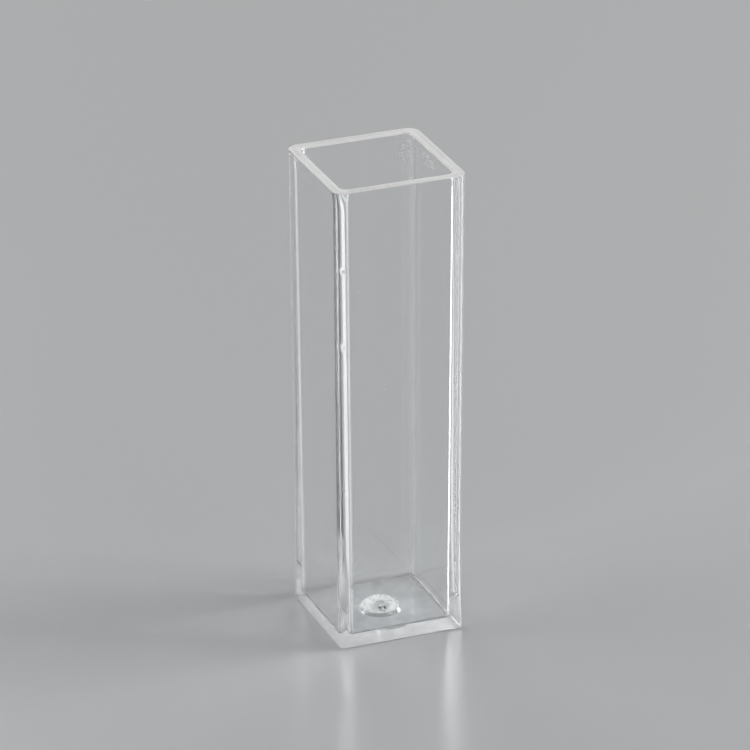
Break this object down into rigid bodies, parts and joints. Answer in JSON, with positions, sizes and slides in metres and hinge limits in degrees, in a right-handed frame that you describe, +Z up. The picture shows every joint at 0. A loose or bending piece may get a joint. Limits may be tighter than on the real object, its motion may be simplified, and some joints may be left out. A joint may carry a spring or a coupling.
{
  "type": "cuvette",
  "caption": "Square clear plastic cuvette, open at the top, with drafted walls, a slightly flared rim and a button on the floor over its gate.",
  "frame": {"origin": "centre of the foot, on the plane that the cuvette stands on", "axes": "+Z up along the cuvette's length, out of its open end; the walls face +X, -X, +Y and -Y"},
  "size_m": [0.0126, 0.0126, 0.045],
  "materials": {
    "clear_plastic": "clear polished polystyrene, satin on the rim and the foot"
  },
  "bodies": {
    "root": {"cuvette_body": "clear_plastic"}
  },
  "joints": []
}
